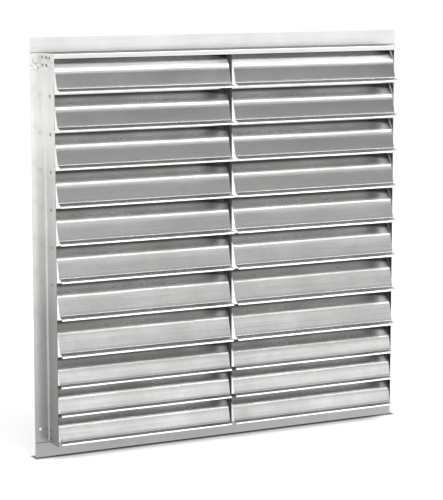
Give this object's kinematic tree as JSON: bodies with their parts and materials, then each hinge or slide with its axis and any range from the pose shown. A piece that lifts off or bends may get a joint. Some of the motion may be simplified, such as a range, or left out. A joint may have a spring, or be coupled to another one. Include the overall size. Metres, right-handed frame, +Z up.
{
  "type": "exhaust shutter",
  "caption": "Square aluminium gravity exhaust shutter: flanged wall frame with two side-by-side banks of hinged louver blades, each bank linked by a tie bar.",
  "frame": {"origin": "centre of the mounting hole pattern, on the wall plane at the back of the flange", "axes": "+X to the right seen from the front, +Y into the wall, +Z up"},
  "size_m": [0.9906, 0.083, 0.9906],
  "materials": {
    "frame_aluminium": "mill finish",
    "blade_aluminium": "mill finish",
    "rod_steel": "zinc plated",
    "bush_nylon": "moulded",
    "rivet_aluminium": "satin"
  },
  "bodies": {
    "frame": {"top_rail": "frame_aluminium", "bottom_rail": "frame_aluminium", "left_stile": "frame_aluminium", "right_stile": "frame_aluminium", "mullion": "frame_aluminium", "pivot_bushes": "bush_nylon", "corner_rivets": "rivet_aluminium"},
    "louver_left_01": {"blade_left_01": "blade_aluminium", "rod_left_01": "rod_steel"},
    "louver_left_02": {"blade_left_02": "blade_aluminium", "rod_left_02": "rod_steel"},
    "louver_left_03": {"blade_left_03": "blade_aluminium", "rod_left_03": "rod_steel"},
    "louver_left_04": {"blade_left_04": "blade_aluminium", "rod_left_04": "rod_steel"},
    "louver_left_05": {"blade_left_05": "blade_aluminium", "rod_left_05": "rod_steel"},
    "louver_left_06": {"blade_left_06": "blade_aluminium", "rod_left_06": "rod_steel"},
    "louver_left_07": {"blade_left_07": "blade_aluminium", "rod_left_07": "rod_steel"},
    "louver_left_08": {"blade_left_08": "blade_aluminium", "rod_left_08": "rod_steel"},
    "louver_left_09": {"blade_left_09": "blade_aluminium", "rod_left_09": "rod_steel"},
    "louver_left_10": {"blade_left_10": "blade_aluminium", "rod_left_10": "rod_steel"},
    "louver_left_11": {"blade_left_11": "blade_aluminium", "rod_left_11": "rod_steel"},
    "tie_left": {"tie_bar_left": "frame_aluminium", "tie_pins_left": "rod_steel"},
    "louver_right_01": {"blade_right_01": "blade_aluminium", "rod_right_01": "rod_steel"},
    "louver_right_02": {"blade_right_02": "blade_aluminium", "rod_right_02": "rod_steel"},
    "louver_right_03": {"blade_right_03": "blade_aluminium", "rod_right_03": "rod_steel"},
    "louver_right_04": {"blade_right_04": "blade_aluminium", "rod_right_04": "rod_steel"},
    "louver_right_05": {"blade_right_05": "blade_aluminium", "rod_right_05": "rod_steel"},
    "louver_right_06": {"blade_right_06": "blade_aluminium", "rod_right_06": "rod_steel"},
    "louver_right_07": {"blade_right_07": "blade_aluminium", "rod_right_07": "rod_steel"},
    "louver_right_08": {"blade_right_08": "blade_aluminium", "rod_right_08": "rod_steel"},
    "louver_right_09": {"blade_right_09": "blade_aluminium", "rod_right_09": "rod_steel"},
    "louver_right_10": {"blade_right_10": "blade_aluminium", "rod_right_10": "rod_steel"},
    "louver_right_11": {"blade_right_11": "blade_aluminium", "rod_right_11": "rod_steel"},
    "tie_right": {"tie_bar_right": "frame_aluminium", "tie_pins_right": "rod_steel"}
  },
  "joints": [
    {"name": "louver_left_01_hinge", "type": "hinge", "parent": "frame", "child": "louver_left_01", "pos_m": [-0.2314, -0.033, 0.4494], "axis": [-1, 0, 0], "range_deg": [-23, 40]},
    {"name": "louver_left_02_hinge", "type": "hinge", "parent": "frame", "child": "louver_left_02", "pos_m": [-0.2314, -0.033, 0.36142], "axis": [-1, 0, 0], "range_deg": [-23, 40]},
    {"name": "louver_left_03_hinge", "type": "hinge", "parent": "frame", "child": "louver_left_03", "pos_m": [-0.2314, -0.033, 0.27345], "axis": [-1, 0, 0], "range_deg": [-23, 40]},
    {"name": "louver_left_04_hinge", "type": "hinge", "parent": "frame", "child": "louver_left_04", "pos_m": [-0.2314, -0.033, 0.18548], "axis": [-1, 0, 0], "range_deg": [-23, 40]},
    {"name": "louver_left_05_hinge", "type": "hinge", "parent": "frame", "child": "louver_left_05", "pos_m": [-0.2314, -0.033, 0.0975], "axis": [-1, 0, 0], "range_deg": [-23, 40]},
    {"name": "louver_left_06_hinge", "type": "hinge", "parent": "frame", "child": "louver_left_06", "pos_m": [-0.2314, -0.033, 0.00953], "axis": [-1, 0, 0], "range_deg": [-23, 40]},
    {"name": "louver_left_07_hinge", "type": "hinge", "parent": "frame", "child": "louver_left_07", "pos_m": [-0.2314, -0.033, -0.07845], "axis": [-1, 0, 0], "range_deg": [-23, 40]},
    {"name": "louver_left_08_hinge", "type": "hinge", "parent": "frame", "child": "louver_left_08", "pos_m": [-0.2314, -0.033, -0.16642], "axis": [-1, 0, 0], "range_deg": [-23, 40]},
    {"name": "louver_left_09_hinge", "type": "hinge", "parent": "frame", "child": "louver_left_09", "pos_m": [-0.2314, -0.033, -0.2544], "axis": [-1, 0, 0], "range_deg": [-23, 40]},
    {"name": "louver_left_10_hinge", "type": "hinge", "parent": "frame", "child": "louver_left_10", "pos_m": [-0.2314, -0.033, -0.3224], "axis": [-1, 0, 0], "range_deg": [-23, 40]},
    {"name": "louver_left_11_hinge", "type": "hinge", "parent": "frame", "child": "louver_left_11", "pos_m": [-0.2314, -0.033, -0.3904], "axis": [-1, 0, 0], "range_deg": [-23, 40]},
    {"name": "tie_left_hinge", "type": "hinge", "parent": "louver_left_01", "child": "tie_left", "pos_m": [-0.2314, -0.01421, 0.44256], "axis": [-1, 0, 0], "range_deg": [-40, 23]},
    {"name": "louver_right_01_hinge", "type": "hinge", "parent": "frame", "child": "louver_right_01", "pos_m": [0.2314, -0.033, 0.4494], "axis": [-1, 0, 0], "range_deg": [-23, 40]},
    {"name": "louver_right_02_hinge", "type": "hinge", "parent": "frame", "child": "louver_right_02", "pos_m": [0.2314, -0.033, 0.36142], "axis": [-1, 0, 0], "range_deg": [-23, 40]},
    {"name": "louver_right_03_hinge", "type": "hinge", "parent": "frame", "child": "louver_right_03", "pos_m": [0.2314, -0.033, 0.27345], "axis": [-1, 0, 0], "range_deg": [-23, 40]},
    {"name": "louver_right_04_hinge", "type": "hinge", "parent": "frame", "child": "louver_right_04", "pos_m": [0.2314, -0.033, 0.18548], "axis": [-1, 0, 0], "range_deg": [-23, 40]},
    {"name": "louver_right_05_hinge", "type": "hinge", "parent": "frame", "child": "louver_right_05", "pos_m": [0.2314, -0.033, 0.0975], "axis": [-1, 0, 0], "range_deg": [-23, 40]},
    {"name": "louver_right_06_hinge", "type": "hinge", "parent": "frame", "child": "louver_right_06", "pos_m": [0.2314, -0.033, 0.00953], "axis": [-1, 0, 0], "range_deg": [-23, 40]},
    {"name": "louver_right_07_hinge", "type": "hinge", "parent": "frame", "child": "louver_right_07", "pos_m": [0.2314, -0.033, -0.07845], "axis": [-1, 0, 0], "range_deg": [-23, 40]},
    {"name": "louver_right_08_hinge", "type": "hinge", "parent": "frame", "child": "louver_right_08", "pos_m": [0.2314, -0.033, -0.16642], "axis": [-1, 0, 0], "range_deg": [-23, 40]},
    {"name": "louver_right_09_hinge", "type": "hinge", "parent": "frame", "child": "louver_right_09", "pos_m": [0.2314, -0.033, -0.2544], "axis": [-1, 0, 0], "range_deg": [-23, 40]},
    {"name": "louver_right_10_hinge", "type": "hinge", "parent": "frame", "child": "louver_right_10", "pos_m": [0.2314, -0.033, -0.3224], "axis": [-1, 0, 0], "range_deg": [-23, 40]},
    {"name": "louver_right_11_hinge", "type": "hinge", "parent": "frame", "child": "louver_right_11", "pos_m": [0.2314, -0.033, -0.3904], "axis": [-1, 0, 0], "range_deg": [-23, 40]},
    {"name": "tie_right_hinge", "type": "hinge", "parent": "louver_right_01", "child": "tie_right", "pos_m": [0.2314, -0.01421, 0.44256], "axis": [-1, 0, 0], "range_deg": [-40, 23]}
  ],
  "couplings": [
    {"joint": "louver_left_02_hinge", "follows": "louver_left_01_hinge", "ratio": 1},
    {"joint": "louver_left_03_hinge", "follows": "louver_left_01_hinge", "ratio": 1},
    {"joint": "louver_left_04_hinge", "follows": "louver_left_01_hinge", "ratio": 1},
    {"joint": "louver_left_05_hinge", "follows": "louver_left_01_hinge", "ratio": 1},
    {"joint": "louver_left_06_hinge", "follows": "louver_left_01_hinge", "ratio": 1},
    {"joint": "louver_left_07_hinge", "follows": "louver_left_01_hinge", "ratio": 1},
    {"joint": "louver_left_08_hinge", "follows": "louver_left_01_hinge", "ratio": 1},
    {"joint": "louver_left_09_hinge", "follows": "louver_left_01_hinge", "ratio": 1},
    {"joint": "louver_left_10_hinge", "follows": "louver_left_01_hinge", "ratio": 1},
    {"joint": "louver_left_11_hinge", "follows": "louver_left_01_hinge", "ratio": 1},
    {"joint": "tie_left_hinge", "follows": "louver_left_01_hinge", "ratio": -1},
    {"joint": "louver_right_02_hinge", "follows": "louver_right_01_hinge", "ratio": 1},
    {"joint": "louver_right_03_hinge", "follows": "louver_right_01_hinge", "ratio": 1},
    {"joint": "louver_right_04_hinge", "follows": "louver_right_01_hinge", "ratio": 1},
    {"joint": "louver_right_05_hinge", "follows": "louver_right_01_hinge", "ratio": 1},
    {"joint": "louver_right_06_hinge", "follows": "louver_right_01_hinge", "ratio": 1},
    {"joint": "louver_right_07_hinge", "follows": "louver_right_01_hinge", "ratio": 1},
    {"joint": "louver_right_08_hinge", "follows": "louver_right_01_hinge", "ratio": 1},
    {"joint": "louver_right_09_hinge", "follows": "louver_right_01_hinge", "ratio": 1},
    {"joint": "louver_right_10_hinge", "follows": "louver_right_01_hinge", "ratio": 1},
    {"joint": "louver_right_11_hinge", "follows": "louver_right_01_hinge", "ratio": 1},
    {"joint": "tie_right_hinge", "follows": "louver_right_01_hinge", "ratio": -1}
  ]
}
